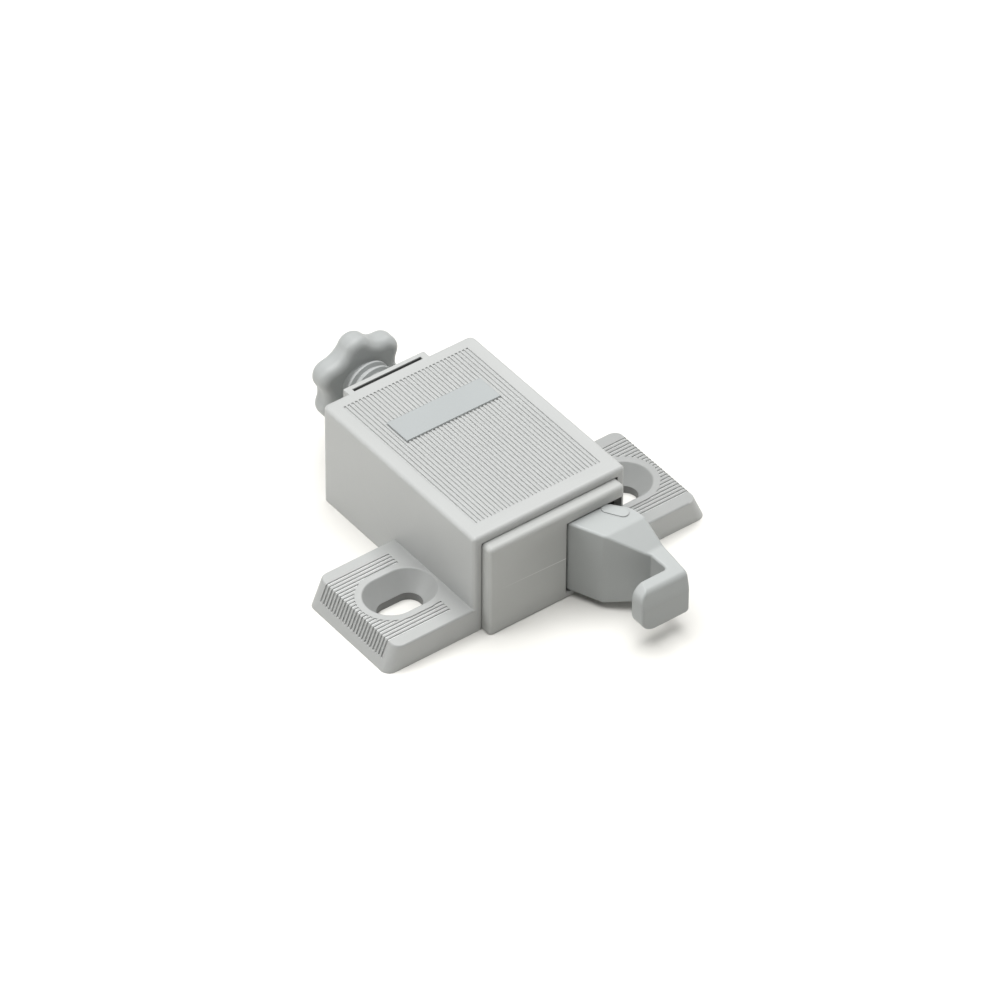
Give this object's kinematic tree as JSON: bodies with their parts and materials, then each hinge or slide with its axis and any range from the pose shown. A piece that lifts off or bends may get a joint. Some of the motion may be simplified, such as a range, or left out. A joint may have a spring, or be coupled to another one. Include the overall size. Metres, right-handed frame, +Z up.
{
  "type": "push catch",
  "caption": "Push catch for a cupboard or pull-out: grooved housing with two slotted flanges, a swinging hook at the front and a lobed depth screw behind.",
  "frame": {"origin": "base face, midway between the two fixing slots", "axes": "+X to the right seen from the front, -Y out of the front where the hook is, +Z up from the base face"},
  "size_m": [0.0856, 0.0948, 0.0295],
  "materials": {
    "housing_plastic": "fine grained light grey moulding",
    "case_plastic": "fine grained light grey moulding",
    "hook_plastic": "fine grained cool grey moulding",
    "slider_plastic": "plain grey moulding",
    "knob_plastic": "fine grained light grey moulding",
    "pin_steel": "drawn steel",
    "spring_steel": "drawn spring steel"
  },
  "bodies": {
    "housing": {"housing": "housing_plastic"},
    "case": {"inner_case": "case_plastic", "case_end_cap": "case_plastic", "track_follower": "spring_steel", "follower_spring": "spring_steel", "main_spring": "spring_steel"},
    "slider": {"slider": "slider_plastic", "hook_pin": "pin_steel"},
    "hook": {"hook": "hook_plastic"},
    "knob": {"adjusting_knob": "knob_plastic"}
  },
  "joints": [
    {"name": "depth_adjust", "type": "slide", "parent": "housing", "child": "case", "axis": [0, -1, 0], "range_m": [-0.002, 0.004]},
    {"name": "knob_turn", "type": "hinge", "parent": "case", "child": "knob", "pos_m": [-0.0025, 0.0487, 0.0181], "axis": [0, -1, 0], "range_deg": [-360, 720]},
    {"name": "latch_travel", "type": "slide", "parent": "case", "child": "slider", "axis": [0, 1, 0], "range_m": [0, 0.011], "stiffness_N_per_m": 466, "springref_m": -0.013, "deforming": ["main_spring", "track_follower"]},
    {"name": "hook_swing", "type": "hinge", "parent": "slider", "child": "hook", "pos_m": [0.0115, -0.0125, 0.0114], "axis": [0, 0, 1], "range_deg": [-27.5, 0]}
  ],
  "couplings": [
    {"joint": "knob_turn", "follows": "depth_adjust", "rad_per_m": 3141.6},
    {"joint": "hook_swing", "follows": "latch_travel", "rad_per_m": -43.633}
  ]
}
